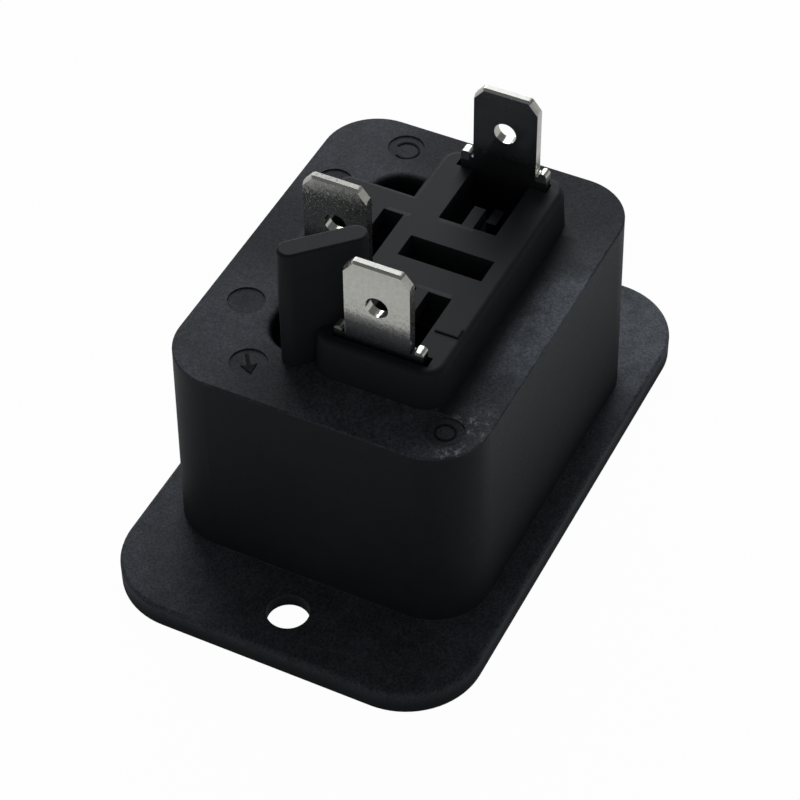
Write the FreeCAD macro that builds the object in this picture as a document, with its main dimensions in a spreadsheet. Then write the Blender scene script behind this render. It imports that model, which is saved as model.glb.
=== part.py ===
import FreeCAD, Part
import math
import os
import Sketcher

# Three-pole appliance outlet for a panel, lying on the front face of its flange with the tabs up.
# X runs along the flange, from the line tab to the neutral tab, and the earth tab is on the +Y side.
# Z = 0 is the front face of the flange, which is also the front face of the nose.

SIZES = {
    # Flange and its two screw holes
    "flange_length": 47.8,
    "flange_width": 29.8,
    "flange_thick": 1.95,
    "flange_radius": 6.1,
    "flange_edge": 0.3,
    "hole_spacing": 40.0,
    "hole_dia": 3.3,
    "hole_sink": 0.75,
    # Drafted shell, measured at its rear face
    "shell_length": 32.54,
    "shell_width": 25.25,
    "shell_radius": 4.45,
    "shell_draft": 0.84,
    "shell_edge": 0.12,
    "rear_level": 19.35,
    # Well round the nose, open at the front
    "well_length": 29.4,
    "well_width": 22.2,
    "well_radius": 3.2,
    "well_depth": 16.4,
    "nose_half": 11.9,
    "nose_low": 8.3,
    "nose_high": 7.6,
    "nose_bevel": 4.6,
    "nose_radius": 1.2,
    "nose_wall": 2.2,
    # Pin layout and the slots that the pins pass through
    "pin_pitch": 14.0,
    "pin_slot_wide": 2.6,
    "pin_slot_tall": 4.8,
    "line_row": 3.42,
    "earth_row": 3.55,
    "earth_seat": 3.45,
    # Contact block on the rear, measured at its top
    "block_level": 22.75,
    "block_half": 11.75,
    "block_low": 8.4,
    "block_step": 1.8,
    "block_draft": 3.0,
    "block_radius": 1.7,
    "boss_half": 5.4,
    "boss_high": 7.7,
    "boss_radius": 0.8,
    "block_edge": 0.5,
    "root_depth": 2.35,
    # Windows, plate slots and fingers in the contact block
    "window_inner": 3.8,
    "window_low": 5.77,
    "window_high": 1.05,
    "earth_window_half": 2.95,
    "earth_window_low": 1.42,
    "earth_window_high": 6.1,
    "slot_play": 0.1,
    "slot_low": 7.2,
    "slot_high": 0.36,
    "earth_slot_low": 0.2,
    "earth_slot_high": 7.15,
    "neck_floor": 16.6,
    "core_half": 1.16,
    "core_low": 6.9,
    "core_high": 0.07,
    "core_floor": 6.0,
    "finger_reach": 2.35,
    "finger_wide": 0.92,
    "finger_thick": 1.2,
    "finger_root": 0.4,
    # Shallow core-outs beside the earth boss
    "recess_inner": 5.35,
    "recess_outer": 10.43,
    "recess_low": 1.8,
    "recess_high": 6.6,
    "recess_radius": 2.4,
    "recess_depth": 1.95,
    "recess_edge": 0.6,
    # Slanted barrier wall between the line tab and the earth tab
    "barrier_x": -9.37,
    "barrier_y": 1.68,
    "barrier_span": 4.95,
    "barrier_thick": 1.82,
    "barrier_level": 30.2,
    "barrier_edge": 0.25,
    # Ejector marks on the rear face
    "mark_dia": 2.9,
    "mark_depth": 0.1,
    # Folded contact strip, in its own frame about the pin axis
    "strip_thick": 0.8,
    "tab_reach": 3.35,
    "tab_wide": 5.2,
    "tab_shift": 0.2,
    "tab_corner_wide": 0.7,
    "tab_corner_tall": 0.85,
    "tab_corner_radius": 0.4,
    "tab_edge": 0.18,
    "tab_hole_dia": 1.8,
    "plate_wide": 7.1,
    "plate_shift": 0.12,
    "plate_seat": 18.6,
    "lug_radius": 0.32,
    "notch_wide": 0.2,
    "notch_depth": 0.4,
    "neck_level": 17.9,
    "leaf_low": 1.3,
    "leaf_high": 1.8,
    "leaf_root": 1.55,
    "leaf_pinch": 1.1,
    "leaf_tip": 1.75,
    "leaf_bend_level": 12.0,
    "leaf_pinch_level": 7.0,
    "leaf_tip_level": 4.2,
    "web_seat": 0.45,
    "web_low_level": 12.6,
    "web_high_level": 15.8,
    "tongue_in": 0.8,
    "tongue_out": 0.9,
    "tongue_level": 21.4,
    # Levels of each tab's top, of its hole and of the lugs beside it
    "line_tab_level": 30.48,
    "line_hole_level": 26.8,
    "line_lug_level": 23.75,
    "neutral_tab_level": 30.8,
    "neutral_hole_level": 27.15,
    "neutral_lug_level": 24.3,
    "earth_tab_level": 30.25,
    "earth_hole_level": 26.35,
    "earth_lug_level": 22.6,
}

# Ejector marks, as points of the rear face
MARKS = ((-7.3, 9.48), (7.54, 9.75), (-12.97, 6.22), (13.58, 6.45), (-13.04, -9.69))

# A strip that folds by 45 degrees has its corner this far along, per unit of half thickness
MITRE = math.tan(math.radians(22.5))


class Size:
    """A length that keeps its value together with the sheet expression it comes from."""

    def __init__(self, value, text):
        self.value = value
        self.text = text

    @staticmethod
    def of(other):
        return other if isinstance(other, Size) else Size(float(other), f"{float(other):.6f}")

    def __add__(self, other):
        other = Size.of(other)
        return Size(self.value + other.value, f"({self.text} + {other.text})")

    def __sub__(self, other):
        other = Size.of(other)
        return Size(self.value - other.value, f"({self.text} - {other.text})")

    def __mul__(self, factor):
        return Size(self.value * factor, f"({self.text} * {factor:.6f})")

    def __truediv__(self, divisor):
        return Size(self.value / divisor, f"({self.text} / {divisor:.6f})")

    def __neg__(self):
        return Size(-self.value, f"(0 - {self.text})")


doc = FreeCAD.newDocument("panel_outlet")
sheet = doc.addObject("Spreadsheet::Sheet", "sizes")
for row, (name, value) in enumerate(SIZES.items(), start=1):
    sheet.set(f"A{row}", name)
    sheet.set(f"B{row}", str(value))
    sheet.setAlias(f"B{row}", name)
doc.recompute()
S = {name: Size(value, f"sizes.{name}") for name, value in SIZES.items()}
ZERO = Size.of(0)


# Sketches

def new_sketch(body, name, role, offset=ZERO):
    """A sketch on one of the body's own origin planes, moved along that plane's normal."""
    sketch = body.newObject("Sketcher::SketchObject", name)
    plane = next(feature for feature in body.Origin.OriginFeatures if feature.Role == role)
    sketch.AttachmentSupport = [(plane, "")]
    sketch.MapMode = "FlatFace"
    sketch.setExpression("AttachmentOffset.Base.z", offset.text)
    return sketch


def bind(sketch, kind, geometry, size):
    """Adds one driving constraint and ties it to the sheet."""
    index = sketch.addConstraint(Sketcher.Constraint(kind, *geometry, size.value))
    sketch.setExpression(f"Constraints[{index}]", size.text)


def pin_point(sketch, geo, pos, point):
    """Holds one point of the sketch at a place worked out from the sheet."""
    bind(sketch, "DistanceX", (-1, 1, geo, pos), point[0])
    bind(sketch, "DistanceY", (-1, 1, geo, pos), point[1])


def polygon(sketch, points):
    """A closed outline of straight edges through points given as pairs of sizes."""
    points = [(Size.of(x), Size.of(y)) for x, y in points]
    places = [FreeCAD.Vector(x.value, y.value, 0) for x, y in points]
    count = len(places)
    first = sketch.GeometryCount
    for i in range(count):
        sketch.addGeometry(Part.LineSegment(places[i], places[(i + 1) % count]))
    for i in range(count):
        sketch.addConstraint(Sketcher.Constraint("Coincident", first + i, 2, first + (i + 1) % count, 1))
    for i in range(count):
        pin_point(sketch, first + i, 1, points[i])


def rectangle(sketch, left, right, low, high):
    polygon(sketch, ((left, low), (right, low), (right, high), (left, high)))


def rounded_rectangle(sketch, left, right, low, high, radius):
    """A closed outline of four edges and four corner arcs that run into one another smoothly."""
    up = FreeCAD.Vector(0, 0, 1)
    centres = ((right - radius, high - radius), (left + radius, high - radius),
               (left + radius, low + radius), (right - radius, low + radius))
    starts = [Part.ArcOfCircle(Part.Circle(FreeCAD.Vector(x.value, y.value, 0), up, radius.value),
                               turn * math.pi / 2, (turn + 1) * math.pi / 2)
              for turn, (x, y) in enumerate(centres)]
    arcs = [sketch.addGeometry(arc) for arc in starts]
    for i in range(4):
        arc, after = starts[i], starts[(i + 1) % 4]
        edge = sketch.addGeometry(Part.LineSegment(arc.EndPoint, after.StartPoint))
        sketch.addConstraint(Sketcher.Constraint("Tangent", arcs[i], 2, edge, 1))
        sketch.addConstraint(Sketcher.Constraint("Tangent", edge, 2, arcs[(i + 1) % 4], 1))
    for arc, centre in zip(arcs, centres):
        pin_point(sketch, arc, 3, centre)
        bind(sketch, "Radius", (arc,), radius)


def circle(sketch, centre, radius):
    centre = tuple(Size.of(c) for c in centre)
    middle = FreeCAD.Vector(centre[0].value, centre[1].value, 0)
    geo = sketch.addGeometry(Part.Circle(middle, FreeCAD.Vector(0, 0, 1), radius.value))
    pin_point(sketch, geo, 3, centre)
    bind(sketch, "Radius", (geo,), radius)


def round_ended(sketch, start, end, radius):
    """A slot outline: two half circles about start and end, joined by their common tangents."""
    a = FreeCAD.Vector(start[0].value, start[1].value, 0)
    b = FreeCAD.Vector(end[0].value, end[1].value, 0)
    along = math.atan2(b.y - a.y, b.x - a.x)
    up = FreeCAD.Vector(0, 0, 1)
    side = FreeCAD.Vector(-math.sin(along), math.cos(along), 0) * radius.value
    cap_b = Part.ArcOfCircle(Part.Circle(b, up, radius.value), along - math.pi / 2, along + math.pi / 2)
    cap_a = Part.ArcOfCircle(Part.Circle(a, up, radius.value), along + math.pi / 2, along + 3 * math.pi / 2)
    arc_b = sketch.addGeometry(cap_b)
    line_high = sketch.addGeometry(Part.LineSegment(b + side, a + side))
    arc_a = sketch.addGeometry(cap_a)
    line_low = sketch.addGeometry(Part.LineSegment(a - side, b - side))
    for one, other in ((arc_b, line_high), (line_high, arc_a), (arc_a, line_low), (line_low, arc_b)):
        sketch.addConstraint(Sketcher.Constraint("Tangent", one, 2, other, 1))
    pin_point(sketch, arc_a, 3, start)
    pin_point(sketch, arc_b, 3, end)
    bind(sketch, "Radius", (arc_a,), radius)
    bind(sketch, "Radius", (arc_b,), radius)


# Features

def pad(body, name, sketch, length, downward=False):
    """Adds material along the sketch's normal, or against it."""
    feature = body.newObject("PartDesign::Pad", name)
    feature.Profile = sketch
    feature.Reversed = downward
    feature.setExpression("Length", length.text)
    doc.recompute()
    return feature


def pocket(body, name, sketch, length=None, upward=False):
    """Removes material and makes sure that some was removed; no length means right through."""
    before = body.Tip.Shape.Volume
    feature = body.newObject("PartDesign::Pocket", name)
    feature.Profile = sketch
    feature.Reversed = upward
    if length is None:
        feature.Type = "ThroughAll"
    else:
        feature.setExpression("Length", length.text)
    doc.recompute()
    if feature.Shape.Volume > before - 1e-6:
        raise RuntimeError(f"{name} cuts nothing")
    return feature


def dress(body, kind, name, size, wanted):
    """A fillet or chamfer on every edge of the body that the test picks."""
    base = body.Tip
    edges = [f"Edge{i}" for i, edge in enumerate(base.Shape.Edges, start=1) if wanted(edge)]
    if not edges:
        raise RuntimeError(f"{name} finds no edge")
    feature = body.newObject(f"PartDesign::{kind}", name)
    feature.Base = (base, edges)
    feature.setExpression("Radius" if kind == "Fillet" else "Size", size.text)
    doc.recompute()
    return feature


def draft(body, name, angle, low, high):
    """Leans the side faces between two levels so that the piece widens below the upper one."""
    base = body.Tip
    faces = base.Shape.Faces
    sides = [f"Face{i}" for i, face in enumerate(faces, start=1) if hangs(face, low, high)]
    tops = [f"Face{i}" for i, face in enumerate(faces, start=1) if lies_at(face, high)]
    before = base.Shape.Volume
    feature = body.newObject("PartDesign::Draft", name)
    feature.Base = (base, sides)
    feature.NeutralPlane = (base, tops)
    feature.setExpression("Angle", angle.text)
    doc.recompute()
    if feature.Shape.Volume < before:
        feature.Reversed = True
        doc.recompute()
    return feature


def spans(item, low, high, slack=0.05):
    """True for an edge or face that climbs from one level to another."""
    box = item.BoundBox
    return abs(box.ZMin - low) < slack and abs(box.ZMax - high) < slack


def hangs(face, low, high, slack=0.05):
    """True for a face that starts at the upper level and reaches the lower one, or further."""
    box = face.BoundBox
    return box.ZMin < low + slack and abs(box.ZMax - high) < slack


def lies_at(item, level, slack=0.01):
    """True for an edge or face that stays on one level."""
    box = item.BoundBox
    return abs(box.ZMin - level) < slack and abs(box.ZMax - level) < slack


def is_ring(edge, radius, slack=0.01):
    """True for a circle of the given radius."""
    return edge.Curve.TypeId == "Part::GeomCircle" and abs(edge.Curve.Radius - radius) < slack


def far_out(edge, x, y):
    """True for an edge whose middle is outside the given half length or half width."""
    middle = edge.CenterOfMass
    return abs(middle.x) > x or abs(middle.y) > y


def crosses(edge):
    """True for an edge that runs through the thickness of the strip."""
    return edge.BoundBox.XLength > 0.5


# Housing: one moulding

def mirrored_rectangles(sketch, inner, outer, low, high):
    """The same window on the neutral side and on the line side."""
    rectangle(sketch, inner, outer, low, high)
    rectangle(sketch, -outer, -inner, low, high)


def add_shell(body):
    """Drafted shell with rounded corners, down to the front face."""
    sketch = new_sketch(body, "shell_outline", "XY_Plane", S["rear_level"])
    half_x, half_y = S["shell_length"] / 2, S["shell_width"] / 2
    rounded_rectangle(sketch, -half_x, half_x, -half_y, half_y, S["shell_radius"])
    pad(body, "shell", sketch, S["rear_level"], downward=True)
    draft(body, "shell_sides", S["shell_draft"], 0, SIZES["rear_level"])
    dress(body, "Fillet", "shell_rim", S["shell_edge"], lambda e: lies_at(e, SIZES["rear_level"]))


def add_flange(body):
    """Flange plate round the front of the shell."""
    sketch = new_sketch(body, "flange_outline", "XY_Plane")
    half_x, half_y = S["flange_length"] / 2, S["flange_width"] / 2
    rounded_rectangle(sketch, -half_x, half_x, -half_y, half_y, S["flange_radius"])
    pad(body, "flange", sketch, S["flange_thick"])
    inside_x, inside_y = SIZES["shell_length"] / 2 + 1, SIZES["shell_width"] / 2 + 1
    dress(body, "Fillet", "flange_rim", S["flange_edge"],
          lambda e: lies_at(e, SIZES["flange_thick"]) and far_out(e, inside_x, inside_y))


def add_recesses(body):
    """Core-outs beside the earth boss, each with its outer corner rounded and a soft rim."""
    sketch = new_sketch(body, "recess_outline", "XY_Plane", S["rear_level"])
    mirrored_rectangles(sketch, S["recess_inner"], S["recess_outer"], S["recess_low"], S["recess_high"])
    pocket(body, "recesses", sketch, S["recess_depth"])
    floor = SIZES["rear_level"] - SIZES["recess_depth"]
    dress(body, "Fillet", "recess_corners", S["recess_radius"],
          lambda e: spans(e, floor, SIZES["rear_level"]) and far_out(e, 10, 99) and e.CenterOfMass.y > 5)
    dress(body, "Fillet", "recess_rims", S["recess_edge"],
          lambda e: lies_at(e, SIZES["rear_level"]) and not far_out(e, 10.6, 7.2))


def add_block(body):
    """Contact block with the earth boss, narrower at its top by the draft."""
    sketch = new_sketch(body, "block_outline", "XY_Plane", S["block_level"])
    half, boss = S["block_half"], S["boss_half"]
    low, step, high = -S["block_low"], S["block_step"], S["boss_high"]
    polygon(sketch, ((-half, low), (half, low), (half, step), (boss, step), (boss, high),
                     (-boss, high), (-boss, step), (-half, step)))
    depth = S["block_level"] - S["rear_level"] + S["root_depth"]
    pad(body, "block", sketch, depth, downward=True)
    top, rear = SIZES["block_level"], SIZES["rear_level"]
    dress(body, "Fillet", "block_corners", S["block_radius"],
          lambda e: spans(e, rear, top) and far_out(e, 11, 99))
    dress(body, "Fillet", "boss_corners", S["boss_radius"],
          lambda e: spans(e, rear, top) and e.CenterOfMass.y > 7)
    draft(body, "block_sides", S["block_draft"], rear, top)
    dress(body, "Fillet", "block_rim", S["block_edge"], lambda e: lies_at(e, top))


def add_barrier(body):
    """Wall with round ends, turned by 45 degrees, rooted in the rear and almost as high as the tabs."""
    root = S["rear_level"] - S["root_depth"]
    sketch = new_sketch(body, "barrier_outline", "XY_Plane", root)
    leg = S["barrier_span"] * (math.sqrt(0.5) / 2)
    start = (S["barrier_x"] - leg, S["barrier_y"] + leg)
    end = (S["barrier_x"] + leg, S["barrier_y"] - leg)
    round_ended(sketch, start, end, S["barrier_thick"] / 2)
    pad(body, "barrier", sketch, S["barrier_level"] - root)
    dress(body, "Fillet", "barrier_rim", S["barrier_edge"], lambda e: lies_at(e, SIZES["barrier_level"]))


def add_well(body):
    """Well open at the front, with the nose left standing in it."""
    sketch = new_sketch(body, "well_outline", "XY_Plane")
    half_x, half_y = S["well_length"] / 2, S["well_width"] / 2
    rounded_rectangle(sketch, -half_x, half_x, -half_y, half_y, S["well_radius"])
    side, low, high, bevel = S["nose_half"], -S["nose_low"], S["nose_high"], S["nose_bevel"]
    polygon(sketch, ((-side, low), (side, low), (side, high - bevel), (side - bevel, high),
                     (bevel - side, high), (-side, high - bevel)))
    pocket(body, "well", sketch, S["well_depth"], upward=True)
    dress(body, "Fillet", "nose_corners", S["nose_radius"],
          lambda e: spans(e, 0, SIZES["well_depth"]) and not far_out(e, 12.5, 9.5))


def add_contact_rooms(body):
    """Rooms for the contacts, open to the rear, with ledges that the contact plates sit on."""
    top = S["block_level"]
    tab_x = S["pin_pitch"] / 2 + S["tab_reach"]
    half_slot = S["strip_thick"] / 2 + S["slot_play"]
    slot_in, slot_out = tab_x - half_slot, tab_x + half_slot
    earth_in, earth_out = -S["tab_reach"] + half_slot, -S["tab_reach"] - half_slot
    low, high = -S["window_low"], -S["window_high"]
    earth_low, earth_high = S["earth_window_low"], S["earth_window_high"]

    sketch = new_sketch(body, "room_outline", "XY_Plane", top)
    mirrored_rectangles(sketch, S["window_inner"], slot_in, low, high)
    rectangle(sketch, earth_in, S["earth_window_half"], earth_low, earth_high)
    pocket(body, "rooms", sketch, top - S["nose_wall"])

    sketch = new_sketch(body, "neck_outline", "XY_Plane", top)
    mirrored_rectangles(sketch, S["window_inner"], slot_out, low, high)
    rectangle(sketch, earth_out, S["earth_window_half"], earth_low, earth_high)
    pocket(body, "necks", sketch, top - S["neck_floor"])

    sketch = new_sketch(body, "slot_outline", "XY_Plane", top)
    mirrored_rectangles(sketch, slot_in, slot_out, -S["slot_low"], S["slot_high"])
    rectangle(sketch, earth_out, earth_in, -S["earth_slot_low"], S["earth_slot_high"])
    pocket(body, "slots", sketch, top - S["plate_seat"])

    sketch = new_sketch(body, "core_outline", "XY_Plane", top)
    rectangle(sketch, -S["core_half"], S["core_half"], -S["core_low"], -S["core_high"])
    pocket(body, "core", sketch, top - S["core_floor"])


def add_fingers(body):
    """Fingers that reach into the windows from the edge away from each tab."""
    sketch = new_sketch(body, "finger_outline", "XY_Plane", S["block_level"])
    half = S["finger_wide"] / 2
    row = -S["line_row"]
    root, tip = S["window_inner"] - S["finger_root"], S["window_inner"] + S["finger_reach"]
    mirrored_rectangles(sketch, root, tip, row - half, row + half)
    earth_root = S["earth_window_half"] + S["finger_root"]
    earth_tip = S["earth_window_half"] - S["finger_reach"]
    rectangle(sketch, earth_tip, earth_root, S["earth_row"] - half, S["earth_row"] + half)
    pad(body, "fingers", sketch, S["finger_thick"], downward=True)


def add_front_slots(body):
    """Pin slots through the front wall of the nose."""
    sketch = new_sketch(body, "pin_outline", "XY_Plane")
    half_x, half_y = S["pin_slot_wide"] / 2, S["pin_slot_tall"] / 2
    side = S["pin_pitch"] / 2
    for x, y in ((side, -S["line_row"]), (-side, -S["line_row"]), (ZERO, S["earth_row"])):
        rectangle(sketch, x - half_x, x + half_x, y - half_y, y + half_y)
    pocket(body, "pin_slots", sketch, S["nose_wall"], upward=True)


def add_screw_holes(body):
    """Screw holes, countersunk from the front."""
    sketch = new_sketch(body, "hole_outline", "XY_Plane")
    side = S["hole_spacing"] / 2
    for x in (side, -side):
        circle(sketch, (x, ZERO), S["hole_dia"] / 2)
    pocket(body, "holes", sketch, S["flange_thick"], upward=True)
    dress(body, "Chamfer", "countersinks", S["hole_sink"],
          lambda e: lies_at(e, 0) and is_ring(e, SIZES["hole_dia"] / 2))


def add_marks(body):
    """Shallow round ejector marks on the rear face."""
    sketch = new_sketch(body, "mark_outline", "XY_Plane", S["rear_level"])
    for point in MARKS:
        circle(sketch, point, S["mark_dia"] / 2)
    pocket(body, "marks", sketch, S["mark_depth"])


def make_housing():
    body = doc.addObject("PartDesign::Body", "socket_housing")
    body.Label = "socket_housing"
    add_shell(body)
    add_flange(body)
    add_recesses(body)
    add_block(body)
    add_barrier(body)
    add_well(body)
    add_contact_rooms(body)
    add_fingers(body)
    add_front_slots(body)
    add_screw_holes(body)
    add_marks(body)
    return body


# Contacts: one folded strip, used three times with tabs of slightly different height

def add_blade(body, top, hole, lug):
    """Tab, plate with a domed lug on each side of the tab, and neck, cut from one flat strip."""
    half_thick = S["strip_thick"] / 2
    sketch = new_sketch(body, "blade_outline", "YZ_Plane", S["tab_reach"] - half_thick)
    half_tab, half_plate = S["tab_wide"] / 2, S["plate_wide"] / 2
    tab_low, tab_high = -S["tab_shift"] - half_tab, -S["tab_shift"] + half_tab
    plate_low, plate_high = -S["plate_shift"] - half_plate, -S["plate_shift"] + half_plate
    wide, gap = S["tab_corner_wide"], S["notch_wide"]
    corner, notch, seat = top - S["tab_corner_tall"], lug - S["notch_depth"], S["plate_seat"]
    polygon(sketch, ((-S["leaf_low"], S["neck_level"]), (S["leaf_high"], S["neck_level"]),
                     (S["leaf_high"], seat), (plate_high, seat), (plate_high, lug),
                     (tab_high + gap, lug), (tab_high + gap, notch), (tab_high, notch),
                     (tab_high, corner), (tab_high - wide, top), (tab_low + wide, top),
                     (tab_low, corner), (tab_low, notch), (tab_low - gap, notch),
                     (tab_low - gap, lug), (plate_low, lug), (plate_low, seat), (-S["leaf_low"], seat)))
    pad(body, "blade", sketch, S["strip_thick"])
    dress(body, "Fillet", "lug_domes", S["lug_radius"],
          lambda e: lies_at(e, lug.value) and crosses(e))
    dress(body, "Fillet", "tab_corners", S["tab_corner_radius"],
          lambda e: lies_at(e, top.value) and crosses(e))

    sketch = new_sketch(body, "tab_hole_outline", "YZ_Plane")
    circle(sketch, (-S["tab_shift"], hole), S["tab_hole_dia"] / 2)
    pocket(body, "tab_hole", sketch, upward=True)
    dress(body, "Chamfer", "tab_bevels", S["tab_edge"],
          lambda e: e.BoundBox.ZMin > corner.value - 0.01 and not crosses(e))


def leaf_profile(sign):
    """Side outline of one spring leaf below the web, from its root past the pinch to the flared tip."""
    half = S["strip_thick"] / 2
    stations = ((S["leaf_root"], S["leaf_bend_level"]), (S["leaf_pinch"], S["leaf_pinch_level"]),
                (S["leaf_tip"], S["leaf_tip_level"]))
    outer = [((x + half) * sign, z) for x, z in stations]
    inner = [((x - half) * sign, z) for x, z in reversed(stations)]
    return outer, inner


def add_leaves(body):
    """Outer leaf with its fold up to the blade, inner leaf, and the web with its upright tongue."""
    half = S["strip_thick"] / 2
    mitre = half * MITRE
    wide = S["leaf_low"] + S["leaf_high"]
    reach, root, neck = S["tab_reach"], S["leaf_root"], S["neck_level"]
    fold = neck - (reach - root)

    sketch = new_sketch(body, "outer_leaf_outline", "XZ_Plane", -S["leaf_high"])
    outer, inner = leaf_profile(1)
    bend = [(root - half, fold + mitre), (reach - half, neck + mitre), (reach + half, neck + mitre),
            (reach + half, neck - mitre), (root + half, fold - mitre)]
    polygon(sketch, bend + outer + inner)
    pad(body, "outer_leaf", sketch, wide)

    sketch = new_sketch(body, "inner_leaf_outline", "XZ_Plane", -S["leaf_high"])
    outer, inner = leaf_profile(-1)
    low, high = S["web_low_level"], S["web_high_level"]
    polygon(sketch, [(-root + half, high), (-root - half, high)] + outer + inner)
    pad(body, "inner_leaf", sketch, wide)

    sketch = new_sketch(body, "web_outline", "XZ_Plane", S["web_seat"])
    tongue_in, tongue_out, tip = -S["tongue_in"], S["tongue_out"], S["tongue_level"]
    polygon(sketch, ((-root - half, low), (root + half, low), (root + half, high), (tongue_out, high),
                     (tongue_out, tip), (tongue_in, tip), (tongue_in, high), (-root - half, high)))
    pad(body, "web", sketch, S["strip_thick"])


def make_contact(pole, x, y, turned):
    """One contact at its pin axis; turned puts its tab on the -X side."""
    label = f"{pole}_contact"
    body = doc.addObject("PartDesign::Body", label)
    body.Label = label
    add_blade(body, *(S[f"{pole}_{spot}_level"] for spot in ("tab", "hole", "lug")))
    add_leaves(body)
    turn = FreeCAD.Rotation(FreeCAD.Vector(0, 0, 1), 180 if turned else 0)
    body.Placement = FreeCAD.Placement(FreeCAD.Vector(x.value, y.value, 0), turn)
    body.setExpression("Placement.Base.x", x.text)
    body.setExpression("Placement.Base.y", y.text)
    return body


side = S["pin_pitch"] / 2
pieces = [
    make_housing(),
    make_contact("line", -side, -S["line_row"], turned=True),
    make_contact("neutral", side, -S["line_row"], turned=False),
    make_contact("earth", ZERO, S["earth_seat"], turned=True),
]
doc.recompute()

for item in doc.Objects:
    if "Invalid" in item.State or "Error" in item.State:
        raise RuntimeError(f"{item.Label} did not build: {item.State}")
for piece in pieces:
    shape = piece.Shape
    if shape.isNull() or not shape.isValid() or len(shape.Solids) != 1:
        raise RuntimeError(f"{piece.Label} is not one valid solid")

os.makedirs("parts", exist_ok=True)
for piece in pieces:
    piece.Shape.exportStep(f"parts/{piece.Label}.step")
    box = piece.Shape.BoundBox
    print(f"{piece.Label}: {piece.Shape.Volume:.1f} mm3, {len(piece.Shape.Faces)} faces,"
          f" x {box.XMin:.2f} to {box.XMax:.2f}, y {box.YMin:.2f} to {box.YMax:.2f},"
          f" z {box.ZMin:.2f} to {box.ZMax:.2f}")
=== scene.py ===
# %% [markdown]
# # A panel outlet, seen from behind
#
# This lesson dresses a small black power outlet that lies on the front face of its flange.
# The solids come from model.glb and stay exactly where they are. The script gives them
# materials, adds the small moulded marks that are too fine for the solids, and sets up a
# floor, a lamp and a camera.

# %% Load the imported solids
import math

import bmesh
import bpy
from mathutils import Matrix, Vector


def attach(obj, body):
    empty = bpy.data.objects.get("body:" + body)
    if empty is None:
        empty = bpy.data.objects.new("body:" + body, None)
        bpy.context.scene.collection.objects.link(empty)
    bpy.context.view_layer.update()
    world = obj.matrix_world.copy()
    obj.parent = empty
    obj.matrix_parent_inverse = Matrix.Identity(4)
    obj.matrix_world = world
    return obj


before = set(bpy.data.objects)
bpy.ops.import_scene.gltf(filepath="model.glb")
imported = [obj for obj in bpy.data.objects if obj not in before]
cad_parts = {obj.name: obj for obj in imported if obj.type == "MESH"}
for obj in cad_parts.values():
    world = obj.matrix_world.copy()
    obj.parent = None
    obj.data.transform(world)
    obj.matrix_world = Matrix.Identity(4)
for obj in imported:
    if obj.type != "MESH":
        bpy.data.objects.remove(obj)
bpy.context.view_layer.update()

MM = 0.001
print("nodes:", sorted(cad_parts))

# %% [markdown]
# ## The camera
#
# The camera was worked out from the straight edges of the real part: one turn about the
# upright, one tilt, a slight roll, a distance and a focal length. Building its matrix from
# three directions keeps every number readable, and the picture frame is a square.

# %% Camera
YAW, PITCH, ROLL = 0.4663, 0.7986, -0.0120
FOCAL_PX, FRAME_PX = 2681.4, 800
ORIGIN_PX = Vector((5.563, 53.870))
DISTANCE = 215.05 * MM
SENSOR_MM = 36
CLIP_NEAR, CLIP_FAR = 0.01, 20

right = Vector((math.sin(YAW), -math.cos(YAW), 0))
ahead = Vector((math.cos(YAW) * math.cos(PITCH), math.sin(YAW) * math.cos(PITCH),
                -math.sin(PITCH)))
down = ahead.cross(right)
right, down = (right * math.cos(ROLL) - down * math.sin(ROLL),
               right * math.sin(ROLL) + down * math.cos(ROLL))
aim = right * (ORIGIN_PX.x / FOCAL_PX) + down * (ORIGIN_PX.y / FOCAL_PX) + ahead

camera_data = bpy.data.cameras.new("photo_camera")
camera_data.sensor_width = SENSOR_MM
camera_data.lens = FOCAL_PX / FRAME_PX * SENSOR_MM
camera_data.clip_start, camera_data.clip_end = CLIP_NEAR, CLIP_FAR
camera = bpy.data.objects.new("photo_camera", camera_data)
turn = Matrix((right, -down, -ahead)).transposed().to_4x4()
camera.matrix_world = Matrix.Translation(-aim * DISTANCE) @ turn
bpy.context.scene.collection.objects.link(camera)
bpy.context.scene.camera = camera
print("camera at, mm:", [round(c / MM, 1) for c in camera.matrix_world.translation],
      "lens", round(camera_data.lens, 2))

# %% [markdown]
# ## Shader maths as plain sums
#
# A material in Blender is a net of nodes. Wiring Math nodes by hand hides the idea, so one
# small class wraps a socket: adding or multiplying two of them makes the Math node, and one
# method makes any other node from its type, its settings and its inputs.

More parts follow.
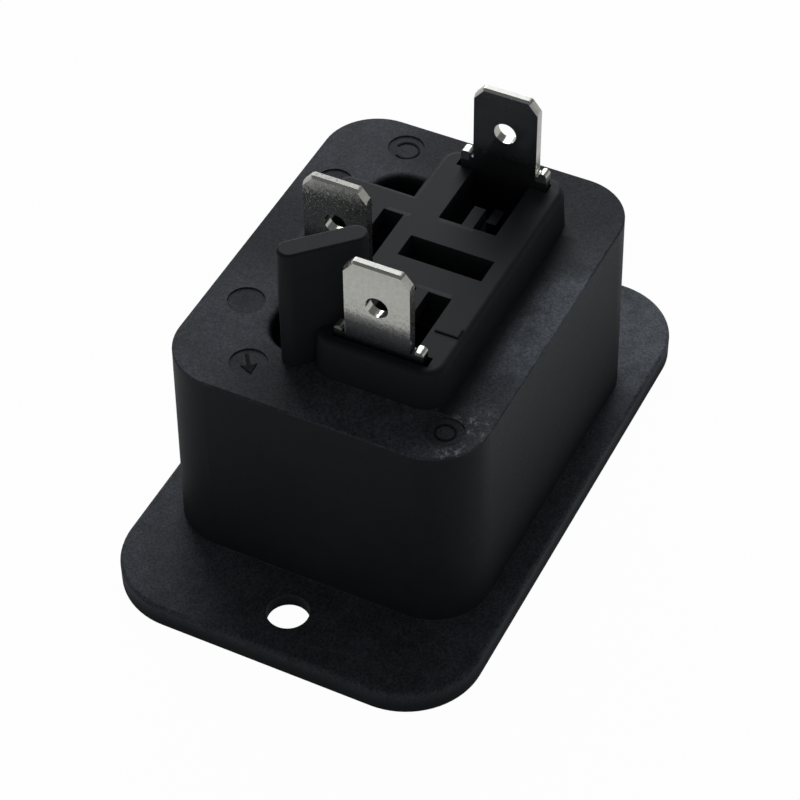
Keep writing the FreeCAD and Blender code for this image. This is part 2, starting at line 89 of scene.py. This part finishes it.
# %% Socket wrapper
class Shade:
    """One output socket of a material, ready to take part in sums."""

    def __init__(self, tree, socket=None):
        self.tree = tree
        self.socket = socket

    def node(self, kind, settings=(), inputs=(), out=0):
        """Makes a node, sets it up, feeds its sockets and returns one of its outputs."""
        made = self.tree.nodes.new(kind)
        for name, value in dict(settings).items():
            if name == "stops":
                self.fill_ramp(made.color_ramp, value)
            else:
                setattr(made, name, value)
        for name, value in dict(inputs).items():
            if isinstance(value, Shade):
                self.tree.links.new(value.socket, made.inputs[name])
            else:
                made.inputs[name].default_value = value
        return Shade(self.tree, made.outputs[out] if len(made.outputs) else None)

    @staticmethod
    def fill_ramp(ramp, stops):
        """Sets a ramp's stops, each a place and a grey."""
        while len(ramp.elements) < len(stops):
            ramp.elements.new(0.5)
        for element, (place, grey) in zip(ramp.elements, stops):
            element.position = place
            element.color = (grey, grey, grey, 1)

    def sum_node(self, operation, first, second):
        return self.node("ShaderNodeMath", {"operation": operation}, {0: first, 1: second})

    def __add__(self, other):
        return self.sum_node("ADD", self, other)

    def __radd__(self, other):
        return self.sum_node("ADD", other, self)

    def __sub__(self, other):
        return self.sum_node("SUBTRACT", self, other)

    def __rsub__(self, other):
        return self.sum_node("SUBTRACT", other, self)

    def __mul__(self, other):
        return self.sum_node("MULTIPLY", self, other)

    def __rmul__(self, other):
        return self.sum_node("MULTIPLY", other, self)

    def ramp(self, *stops):
        """Bends a value through a list of (place, grey) stops."""
        return self.node("ShaderNodeValToRGB", {"stops": stops}, {"Fac": self})

    def near(self, level, slack):
        """One where the value is within the slack of a level, and nought elsewhere."""
        return self.node("ShaderNodeMath", {"operation": "COMPARE"},
                         {0: self, 1: level, 2: slack})

    def axes(self, place):
        """The three coordinates of a place, each as a value."""
        return [self.node("ShaderNodeSeparateXYZ", {}, {"Vector": place}, out=axis)
                for axis in "XYZ"]

    def stretch(self, place, upright):
        """A place whose upright axis is shrunk, so that noise on it runs in upright lines."""
        return self.node("ShaderNodeMapping", {}, {"Vector": place, "Scale": (1, 1, upright)})

    def noise(self, place, per_mm, detail=2.0, rough=0.5):
        """Soft noise with about so many lumps in a millimetre."""
        return self.node("ShaderNodeTexNoise", {}, {"Vector": place, "Scale": per_mm / MM,
                                                    "Detail": detail, "Roughness": rough})

    def mix(self, factor, low, high):
        """A colour between two colours."""
        return self.node("ShaderNodeMix", {"data_type": "RGBA"},
                         {0: factor, 6: low, 7: high}, out=2)

    def spot(self, place, x, y, radius):
        """One about a point of the plan, in millimetres, fading to nought at the radius."""
        plan = self.node("ShaderNodeVectorMath", {"operation": "MULTIPLY"},
                         {0: place, 1: (1, 1, 0)})
        reach = self.node("ShaderNodeVectorMath", {"operation": "DISTANCE"},
                          {0: plan, 1: (x * MM, y * MM, 0)}, out="Value")
        return (reach * (1 / (radius * MM))).ramp((0.35, 1.0), (1.0, 0.0))

    def spots(self, place, places):
        """Several spots in one mask."""
        return sum(self.spot(place, *spot) for spot in places)


def new_material(name):
    """An empty material and the start of its node net."""
    material = bpy.data.materials.new(name)
    material.use_nodes = True
    material.node_tree.nodes.clear()
    return material, Shade(material.node_tree)


def close(net, surface):
    """Ends the net in the material's output."""
    net.node("ShaderNodeOutputMaterial", {}, {"Surface": surface})


print("socket wrapper ready")

# %% [markdown]
# ## Where the plastic keeps its mould skin
#
# The housing is a glass-filled plastic from a spark-eroded mould. The walls that slide out of
# the mould are drawn smooth and close to black. The level faces, which are the rear face and
# the rear of the flange, keep the eroded skin: they are greyer and full of fine pale grain,
# and the skin runs over the rim and down the flange's edge. A map painted by hand could hold
# all this. Noises and tests on Object coordinates are shorter, and they stay put from every
# side. Each ramp covers a short span of height, because a ramp has only 256 steps.

# %% Noises and levels of the plastic
MARK_LEVEL, BLOCK_LEVEL, LEVEL_SLACK = 19.25 * MM, 22.75 * MM, 0.02 * MM
RIM_FOOT, RIM_SPAN = 18.9 * MM, 0.6 * MM
FLANGE_SPAN, SHELL_SPAN = 2.4 * MM, 20 * MM

plastic, net = new_material("black_plastic")
place = net.node("ShaderNodeTexCoord", out="Object")
along, across, height = net.axes(place)
patches = net.noise(place, 0.16, detail=4.0, rough=0.6).ramp((0.35, 0.0), (0.68, 1.0))
blotches = net.noise(place, 0.7, detail=4.0, rough=0.65).ramp((0.36, 0.0), (0.60, 1.0))
grain = net.noise(place, 5.5, detail=2.0, rough=0.6).ramp((0.30, 0.0), (0.72, 1.0))

climb = height * (1 / SHELL_SPAN)
raised = climb.ramp((0.972, 0.0), (0.984, 1.0))
sunk = height.near(MARK_LEVEL, LEVEL_SLACK)
rim = (height - RIM_FOOT) * (1 / RIM_SPAN)
rear = rim.ramp((0.42, 0.0), (0.68, 1.0), (0.78, 1.0), (0.83, 0.0)) * (1 - sunk)
flange = (height * (1 / FLANGE_SPAN)).ramp((0.25, 0.08), (0.78, 1.0), (0.825, 1.0), (0.86, 0.0))
eroded = rear + sunk + flange
print("levels, mm:", [round(level / MM, 2) for level in (MARK_LEVEL, BLOCK_LEVEL)])

# %% [markdown]
# ## Worn places, painted shade and painted light on the skin
#
# The skin isn't even. Handling has left it duller in some places and paler in others. Along
# the strip by the rim the pale places are partly paler skin and partly a painted sheen, and
# the pale spot on the back corner of the flange is a painted pool of light. In two spots near
# one corner the fine bright flecks are painted glints. The dark band beside the foot of the
# contact block is the block's painted shadow, and the dark spot on the front of the flange is
# painted shade from the body. The far corner of the shell has upright streaks, paler towards
# the top, where a painted sheen rides on them. The edges that the small fingers grow from
# carry painted highlights. Each of these is a soft round spot on the plan, or a band, and the
# noises break it up.

# %% Worn places, painted shade and painted light
# Pale spots along the rim strip: partly paler skin, partly a painted sheen.
PALE_SHEEN_SPOTS = ((-1.6, -11.6, 5.5), (3.6, -12.0, 3.4))
DULL_SPOTS = ((13.6, -9.3, 6.5), (14.2, 3.4, 5.0), (-14.4, 3.8, 5.0), (1.0, 11.6, 7.0),
              (-13.0, -9.7, 2.4), (15.0, -3.0, 5.0))
# Spots of painted glints near one corner of the rear face.
PAINTED_GLINT_SPOTS = ((-11.5, -11.3, 2.0), (-14.6, -10.9, 1.4))
# The flange's back-corner spot is a painted pool of light, and its front spot is painted shade
# from the body.
FLANGE_LIGHT_SPOT, FLANGE_SHADE_SPOT = (19.5, -12.5, 8.0), (-21.0, -5.0, 13.0)
# Far corner of the side wall: real upright streaks that carry a painted sheen.
SCUFF_SHEEN_SPOT = (15.4, -12.6, 4.0)
# Edges that the small fingers grow from: painted highlights along them.
HIGHLIGHT_EDGES = ((3.62, -2.6, 1.4), (-3.55, -4.2, 1.4), (3.12, 1.9, 0.95))
HIGHLIGHT_HALF, HIGHLIGHT_SLACK = 0.17 * MM, 0.06 * MM
# A band beside the foot of the contact block: its painted shadow.
BAND_MIDDLE, BAND_HALF = -1.0 * MM, 10.5 * MM
BAND_START, BAND_REACH = -8.0 * MM, 4.0 * MM

# Paler skin and painted sheen on the rear, and a painted pool of light on the flange.
bloom_and_sheen = (rear * net.spots(place, PALE_SHEEN_SPOTS) * (0.55 + 0.45 * blotches)
         + flange * net.spot(place, *FLANGE_LIGHT_SPOT) * (0.3 + 0.3 * blotches))
# Duller skin on the rear and on the mark floors, and painted shade on the front of the flange.
dulled_and_shaded = (rear * net.spots(place, DULL_SPOTS) * (0.5 + 0.5 * blotches) + 0.7 * sunk
          + 0.45 * flange * net.spot(place, *FLANGE_SHADE_SPOT))
# Fine bright flecks in the glint spots: painted glints.
glints = net.noise(place, 2.4, detail=3.0, rough=0.7).ramp((0.54, 0.0), (0.64, 1.0))
painted_glints = rear * net.spots(place, PAINTED_GLINT_SPOTS) * glints
streaks = net.noise(net.stretch(place, 0.15), 1.6, detail=3.0, rough=0.6)
streaks = streaks.ramp((0.42, 0.0), (0.62, 1.0))
# Paler upright streaks at the far corner, rising towards the top: partly a painted sheen.
scuffed_sheen = net.spot(place, *SCUFF_SHEEN_SPOT) * climb.ramp((0.40, 0.0), (0.85, 1.0)) * streaks
# The band darkens the skin towards the black of the walls: a painted shadow of the block.
beside = ((across - BAND_START) * (-1 / BAND_REACH)).ramp(
    (0.05, 0.0), (0.10, 1.0), (0.30, 1.0), (0.60, 0.0))
painted_block_shadow = rear * along.near(BAND_MIDDLE, BAND_HALF) * beside
# Pale strips along three edges on the top of the block: painted highlights.
highlit = sum(along.near(x * MM, HIGHLIGHT_HALF) * across.near(y * MM, half * MM)
              for x, y, half in HIGHLIGHT_EDGES) * height.near(BLOCK_LEVEL, HIGHLIGHT_SLACK)
print("worn places:", len(PALE_SHEEN_SPOTS) + 1, "pale,", len(DULL_SPOTS) + 1, "dull,",
      len(PAINTED_GLINT_SPOTS), "glinting,", len(HIGHLIGHT_EDGES), "pressed edges")

# %% [markdown]
# ## Moulded black plastic
#
# Each mask now picks between two colours, and the grain runs through all of them. The walls
# get smoother towards the rear rim, where the mould is polished most, and the dull places and
# the edge of the contact block are rougher than the rest. The grain also lifts a shallow
# bump, strongest on the eroded skin, so that the light breaks up on it.

# %% Colours of the plastic
WALL_BLACKS = (0.0164, 0.0171, 0.0193, 1), (0.0208, 0.0217, 0.0243, 1)
BLOCK_LIT_BLACK = (0.0290, 0.0300, 0.0325, 1)
FINE_GREYS = (0.030, 0.032, 0.037, 1), (0.092, 0.098, 0.112, 1)
DULL_AND_SHADE_GREYS = (0.016, 0.017, 0.019, 1), (0.048, 0.050, 0.056, 1)
PALE_SHEEN_GREYS = (0.086, 0.093, 0.108, 1), (0.230, 0.245, 0.278, 1)
SCUFF_SHEEN_GREY, PAINTED_GLINT_GREY = (0.120, 0.131, 0.156, 1), (0.26, 0.272, 0.292, 1)
HIGHLIGHT_GREY = (0.058, 0.060, 0.066, 1)

smooth = net.mix(0.6 * patches + 0.4 * blotches, *WALL_BLACKS)
# Painted sheen on the streaks at the far corner.
smooth = net.mix(0.6 * scuffed_sheen, smooth, SCUFF_SHEEN_GREY)
# The contact block's walls and top get a lighter black: painted light that lifts their shade.
smooth = net.mix(0.5 * raised, smooth, BLOCK_LIT_BLACK)
fine, dull, pale = (net.mix(grain, *greys) for greys in (FINE_GREYS, DULL_AND_SHADE_GREYS, PALE_SHEEN_GREYS))
skin = net.mix(dulled_and_shaded + 0.25 * (1 - blotches), fine, dull)
# Paler skin, partly a painted sheen.
skin = net.mix(bloom_and_sheen + 0.10 * blotches, skin, pale)
# Painted shadow of the block.
skin = net.mix(0.85 * painted_block_shadow, skin, smooth)
# Painted glints.
skin = net.mix(painted_glints, skin, PAINTED_GLINT_GREY)
tinted = net.mix(eroded, smooth, skin)
# Painted highlights on the block's edges.
tinted = net.mix(highlit * (0.35 + 0.65 * grain), tinted, HIGHLIGHT_GREY)
print("plastic colours mixed from", len(plastic.node_tree.nodes), "nodes")

# %% Black plastic
SKIN_ROUGH, GLOSS = 0.54, 0.085
EDGE_LEVEL, EDGE_SLACK = BLOCK_LEVEL - 0.25 * MM, 0.22 * MM
GRAIN_BUMP, BUMP_DEPTH = 0.3, 0.02 * MM

drawn = climb.ramp((0.0, 0.64), (0.95, 0.40), (0.99, 0.46))
rough = drawn + eroded * (SKIN_ROUGH - drawn) + 0.08 * grain + 0.10 * dulled_and_shaded
rough = rough + 0.08 * height.near(EDGE_LEVEL, EDGE_SLACK)
relief = net.node("ShaderNodeBump", {}, {"Strength": GRAIN_BUMP, "Distance": BUMP_DEPTH,
                                         "Height": grain * (0.3 + 0.7 * eroded)})
close(net, net.node("ShaderNodeBsdfPrincipled", {}, {
    "Base Color": tinted, "Roughness": rough, "Normal": relief, "Specular IOR Level": GLOSS}))
print("black plastic:", len(plastic.node_tree.nodes), "nodes")

# %% [markdown]
# ## Wear and painted shade on the contacts
#
# The contacts are stamped from copper alloy strip and plated with tin. The tabs are bright
# but speckled, with faint rolling lines along the strip. They have aged apart: the neutral
# tab is smooth, and its broad face is cooler and darker, a painted reflection; the earth tab
# is rubbed most. Their tops were sheared, and the lugs beside them are rubbed bright. Towards
# the housing the plating is painted darker, a painted shade and reflection of the dark housing.
# Ramps on the height do that, with some noise in them, so that its edge is ragged.

# %% Noises, wear and painted shade of the plating
LINE_TAB, NEUTRAL_TAB, EARTH_TAB = (-10.35, 30.48), (10.35, 30.80), (-3.35, 30.25)
TAB_SLACK, TOP_SLACK = 1.5 * MM, 0.03 * MM
LUG_MIDDLE, LUG_HALF = -3.42 * MM, 2.75 * MM
LUG_LEVEL, LUG_SLACK = 23.95 * MM, 0.5 * MM
# Where the painted shade towards the housing starts, and how fast it fades upwards.
SHADE_FOOT, SHADE_RATE = 22 * MM, 0.2 / MM
RUB_FOOT, RUB_RATE = 27 * MM, 0.3 / MM

plated, net = new_material("plated_metal")
place = net.node("ShaderNodeTexCoord", out="Object")
along, across, height = net.axes(place)
fresh = along.near(NEUTRAL_TAB[0] * MM, TAB_SLACK)
aged = along.near(EARTH_TAB[0] * MM, TAB_SLACK)

lines = net.noise(net.stretch(place, 0.08), 9.0, detail=2.0)
mottle = net.noise(place, 2.6, detail=4.0, rough=0.6)
ragged = net.noise(place, 6.0, detail=3.0, rough=0.7)
specks = net.noise(place, 4.0, detail=4.0, rough=0.75).ramp((0.56, 0.0), (0.70, 1.0))
specks = specks * (1 - 0.85 * fresh)

rise = (height - SHADE_FOOT) * SHADE_RATE + 0.10 * mottle + 0.40 * ragged - 0.30
# One where the tin is bright and smooth; below it the plating gets painted shade.
clean_and_unshaded = rise.ramp((0.10, 0.0), (0.48, 0.10), (0.70, 1.0))
rubbed = (height - RUB_FOOT) * RUB_RATE + 0.5 * mottle - 0.25
rubbed = rubbed.ramp((0.40, 0.0), (0.95, 1.0))
sheared = sum(along.near(x * MM, TAB_SLACK) * height.near(top * MM, TOP_SLACK)
              for x, top in (LINE_TAB, NEUTRAL_TAB, EARTH_TAB))
lugs = (1 - across.near(LUG_MIDDLE, LUG_HALF)) * height.near(LUG_LEVEL, LUG_SLACK) * (1 - aged)
print("wear masks from", len(plated.node_tree.nodes), "nodes")

# %% [markdown]
# ## Tin-plated metal
#
# A metal's look is mostly its roughness, so every mask takes part in it, and a shallow bump
# carries the mottling, the rolling lines and the specks. The colour is warm where the tin is
# bright, cooler and darker on the neutral tab's broad face as a painted reflection, and darker
# towards the housing as a painted shade and reflection.

# %% Plated metal
TIN_TINTS = (0.69, 0.670, 0.594, 1), (0.80, 0.775, 0.686, 1)
COOL_REFLECTION_TINT, SHEARED_TINT = (0.600, 0.616, 0.650, 1), (0.46, 0.445, 0.415, 1)
FOOT_SHADE_GREYS = (0.150, 0.150, 0.156, 1), (0.052, 0.052, 0.055, 1)
STRIP_HALF, FACE_SLACK = 0.4, 0.04 * MM
TIN_BUMP, TIN_METALLIC = 0.16, 0.94

broad_face = along.near((NEUTRAL_TAB[0] - STRIP_HALF) * MM, FACE_SLACK)
tint = net.mix(mottle.ramp((0.35, 0.0), (0.7, 1.0)), *TIN_TINTS)
# The neutral tab's broad face gets a cooler, darker tint: a painted reflection.
tint = net.mix(broad_face, tint, COOL_REFLECTION_TINT)
# Painted shade and reflection of the dark housing, darkest low down and lighter on the neutral
# tab.
foot_shade = net.mix(rise.ramp((0.06, 1.0), (0.40, 0.0)) * (1 - fresh), *FOOT_SHADE_GREYS)
# The lugs are kept out of the painted shade.
worn = net.mix(clean_and_unshaded + lugs * (1 - clean_and_unshaded), foot_shade, tint)
worn = net.mix(sheared, worn, SHEARED_TINT)
rough = 0.28 - 0.18 * clean_and_unshaded + 0.05 * mottle + 0.16 * specks + 0.13 * rubbed + 0.20 * sheared
rough = rough + aged * (0.20 * rubbed * specks + 0.08 * rubbed + 0.10 * sheared - 0.03)
relief = net.node("ShaderNodeBump", {}, {"Strength": TIN_BUMP, "Distance": BUMP_DEPTH,
                                         "Height": mottle + 0.5 * lines + 0.8 * specks})
close(net, net.node("ShaderNodeBsdfPrincipled", {}, {
    "Base Color": worn, "Roughness": rough, "Normal": relief, "Metallic": TIN_METALLIC}))
print("plated metal:", len(plated.node_tree.nodes), "nodes")

# %% [markdown]
# ## Finishes on the solids
#
# The real housing is one moulding and each contact is one strip, so each solid has a single
# finish. Faces could be given finishes one by one, but the masks already know where they
# are. Each solid keeps its mesh, and only the material in its slot changes.

# %% Assign the finishes
for name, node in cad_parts.items():
    finish = plastic if name == "socket_housing" else plated
    for slot in node.material_slots:
        slot.material = finish
    print(name, "gets", finish.name, "on", len(node.data.polygons), "triangles")

# %% [markdown]
# ## Moulded marks
#
# Letters and dial marks on a moulding are cut into the mould with a fine cutter, so they
# stand a tenth of a millimetre proud, and their finish is duller than the skin. Their darker
# black is painted shade, for the thin shadows along such fine marks. They could be painted with
# a mask, but a mask has no edge to catch the light. Here each one is modelled, from an outline
# that is extruded and softened round its top or from a section that is spun.

# %% A finish for the marks
# The darker black of the marks is painted shade.
MARK_SHADE_BLACKS = (0.0120, 0.0125, 0.0140, 1), (0.0240, 0.0250, 0.0280, 1)
CUT_GLOSS = 0.02

mark_shade_black, net = new_material("mark_shade_black")
place = net.node("ShaderNodeTexCoord", out="Object")
grain = net.noise(place, 5.5, detail=2.0, rough=0.6)
close(net, net.node("ShaderNodeBsdfPrincipled", {}, {
    "Base Color": net.mix(grain, *MARK_SHADE_BLACKS), "Roughness": 0.50 + 0.15 * grain,
    "Specular IOR Level": CUT_GLOSS}))
print("finish of the marks:", len(mark_shade_black.node_tree.nodes), "nodes")


# %% Two helpers for the marks
def keep(shell, name):
    """Turns a finished bmesh into a piece of the housing."""
    bmesh.ops.recalc_face_normals(shell, faces=shell.faces)
    mesh = bpy.data.meshes.new(name)
    shell.to_mesh(mesh)
    shell.free()
    piece = bpy.data.objects.new(name, mesh)
    bpy.context.scene.collection.objects.link(piece)
    mesh.materials.append(mark_shade_black)
    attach(piece, "root")
    print(name, "has", len(mesh.polygons), "faces")


def raise_outline(name, outline, low, high, softness=0.04):
    """Extrudes an outline, in millimetres, from one level to another and softens its top."""
    shell = bmesh.new()
    flat = shell.faces.new([shell.verts.new((x * MM, y * MM, low * MM)) for x, y in outline])
    lifted = bmesh.ops.extrude_face_region(shell, geom=[flat])["geom"]
    top = [part for part in lifted if isinstance(part, bmesh.types.BMVert)]
    bmesh.ops.translate(shell, vec=(0, 0, (high - low) * MM), verts=top)
    edges = [edge for edge in shell.edges if all(corner in top for corner in edge.verts)]
    bmesh.ops.bevel(shell, geom=edges, offset=softness * MM, affect="EDGES", segments=2,
                    profile=0.5, material=-1)
    keep(shell, name)


print("helpers ready")

# %% [markdown]
# The letter beside the line tab tells the fitter which pole it is. Its foot points to the
# middle of the block, so it reads upright from the side away from the earth tab. A text
# object could draw it, but six corners are enough for so plain a letter.

# %% Terminal letter
STROKE, LETTER_LONG, LETTER_FOOT = 0.17, 1.9, 0.95
LETTER_X, LETTER_Y = -7.33, -7.98
LETTER_LEVELS = 22.70, 22.84

stroke_x, foot_x = LETTER_X + STROKE, LETTER_X + LETTER_FOOT
stroke_y, head_y = LETTER_Y + STROKE, LETTER_Y + LETTER_LONG
raise_outline("terminal_letter", (
    (LETTER_X, LETTER_Y), (foot_x, LETTER_Y), (foot_x, stroke_y),
    (stroke_x, stroke_y), (stroke_x, head_y), (LETTER_X, head_y)), *LETTER_LEVELS)

# %% [markdown]
# One of the round marks is a dial. The mould maker turns its arrow to show when the part was
# made, so the arrow is a separate little shape in the floor of the mark. Its corners are
# given along and across the way it points, because that is easier to read than the plan.

# %% Dial arrow
DIAL = Vector((-12.97, 6.22))
HEAD_WAY, SIDE_WAY = Vector((-0.80, -0.60)), Vector((0.60, -0.80))
ARROW = ((-0.95, 0.13), (0.25, 0.13), (0.15, 0.62), (1.15, 0.0),
         (0.15, -0.62), (0.25, -0.13), (-0.95, -0.13))
ARROW_LEVELS = 19.20, 19.33

raise_outline("dial_arrow", [tuple(DIAL + forward * HEAD_WAY + aside * SIDE_WAY)
                             for forward, aside in ARROW], *ARROW_LEVELS)

# %% [markdown]
# Two other marks have a ring inside them. One ring is whole, and the other is open at one
# side, where its insert has worn. Two circles could be bridged, but a small section that is
# spun about the middle of its mark, by a full turn or by less, makes both.

# %% Rings in two marks
RING_LOW, RING_HIGH = 19.20, 19.32
RING_SECTION = ((-0.10, RING_LOW), (0.10, RING_LOW), (0.07, RING_HIGH), (-0.07, RING_HIGH))
RING_STEPS, FULL_TURN = 48, 360


def spin_ring(name, middle, radius, start, sweep):
    """Spins the section about an upright axis, from a start angle by a sweep, in degrees."""
    shell = bmesh.new()
    whole = sweep >= FULL_TURN
    first = math.radians(start)
    corners = [shell.verts.new(((middle[0] + (radius + out) * math.cos(first)) * MM,
                                (middle[1] + (radius + out) * math.sin(first)) * MM,
                                level * MM)) for out, level in RING_SECTION]
    if whole:
        sides = [shell.edges.new((corners[i - 1], corners[i])) for i in range(len(corners))]
        geom = corners + sides
    else:
        end = shell.faces.new(corners)
        geom = corners + list(end.edges) + [end]
    bmesh.ops.spin(shell, geom=geom, cent=(middle[0] * MM, middle[1] * MM, 0), axis=(0, 0, 1),
                   angle=math.radians(sweep), steps=RING_STEPS, use_merge=whole)
    keep(shell, name)


spin_ring("near_ring", (-13.04, -9.69), radius=0.75, start=0, sweep=FULL_TURN)
spin_ring("far_ring", (13.32, 6.26), radius=0.95, start=145, sweep=290)

# %% [markdown]
# ## Floor
#
# The part stands on plain white. A white floor that is bright enough to be white would throw
# too much light on the part, so the floor shows its white only to the camera and to mirror
# and glass rays, and keeps a share of its real shading so that the shadow stays. It lies a
# hair below the part, because two faces in one plane flicker.

# %% Floor
FLOOR_HALF, FLOOR_DROP = 1.5, 0.02 * MM

shell = bmesh.new()
bmesh.ops.create_grid(shell, x_segments=1, y_segments=1, size=FLOOR_HALF,
                      matrix=Matrix.Translation((0, 0, -FLOOR_DROP)))
floor_mesh = bpy.data.meshes.new("floor")
shell.to_mesh(floor_mesh)
shell.free()
floor = bpy.data.objects.new("floor", floor_mesh)
bpy.context.scene.collection.objects.link(floor)
print("floor of", 2 * FLOOR_HALF, "m")

# %% White paper
PAPER_GREY = (0.8, 0.8, 0.8, 1)
SEEN_WHITE, MIRRORED_WHITE = (1, 1, 1, 1), (0.66, 0.68, 0.72, 1)
SEEN_SHARE, MIRRORED_SHARE = 0.98, 0.5

paper, net = new_material("white_paper")
seen, mirrored, through = (net.node("ShaderNodeLightPath", out=kind) for kind in (
    "Is Camera Ray", "Is Glossy Ray", "Is Transmission Ray"))
matt = net.node("ShaderNodeBsdfDiffuse", {}, {"Color": PAPER_GREY})
glow = net.mix(mirrored, SEEN_WHITE, MIRRORED_WHITE)
white = net.node("ShaderNodeEmission", {}, {"Color": glow, "Strength": 1.0})
share = seen * SEEN_SHARE + mirrored * MIRRORED_SHARE + through * SEEN_SHARE
close(net, net.node("ShaderNodeMixShader", {}, {0: share, 1: matt, 2: white}))
floor.data.materials.append(paper)
print("white paper:", len(paper.node_tree.nodes), "nodes")

# %% [markdown]
# ## Light
#
# One broad soft box stands behind the part, past the neutral tab and a little to the earth
# side. It gives the level faces their sheen and throws the soft shadows towards the viewer.
# More lamps would only fill those shadows. The world does the rest: it is pale near the
# horizon, as a white sweep is, and dark overhead, so the upright walls get some light from
# all round.

# %% Soft box
AIM = Vector((0, 0, 15 * MM))
LAMP_COLOUR = (0.94, 0.97, 1.0)


def soft_box(name, turn, rise, distance, size, power):
    """An area lamp at a turn and a rise in degrees, which points at the middle of the part."""
    data = bpy.data.lights.new(name, "AREA")
    data.shape = "RECTANGLE"
    data.size, data.size_y = size
    data.energy = power
    data.color = LAMP_COLOUR
    lamp = bpy.data.objects.new(name, data)
    turn, rise = math.radians(turn), math.radians(rise)
    ray = Vector((math.cos(turn) * math.cos(rise), math.sin(turn) * math.cos(rise),
                  math.sin(rise)))
    lamp.location = AIM + distance * ray
    lamp.rotation_mode = "QUATERNION"
    lamp.rotation_quaternion = (-ray).to_track_quat("-Z", "Y")
    bpy.context.scene.collection.objects.link(lamp)
    print(name, "at, mm:", [round(c / MM) for c in lamp.location], "power", power)


soft_box("key_box", turn=27, rise=29, distance=0.54, size=(0.44, 0.36), power=2.05)

# %% World
OVERHEAD, HORIZON = (0.121, 0.128, 0.135, 1), (0.60, 0.62, 0.64, 1)

world = bpy.data.worlds.new("studio")
world.use_nodes = True
net = Shade(world.node_tree)
way = net.node("ShaderNodeTexCoord", out="Generated")
upward = net.axes(way)[2]
sky = net.mix(upward.ramp((0.10, 1.0), (0.30, 0.0)), OVERHEAD, HORIZON)
background = world.node_tree.nodes["Background"]
world.node_tree.links.new(sky.socket, background.inputs["Color"])
bpy.context.scene.world = world
bpy.context.scene.view_settings.view_transform = "Standard"
print("world:", len(world.node_tree.nodes), "nodes")
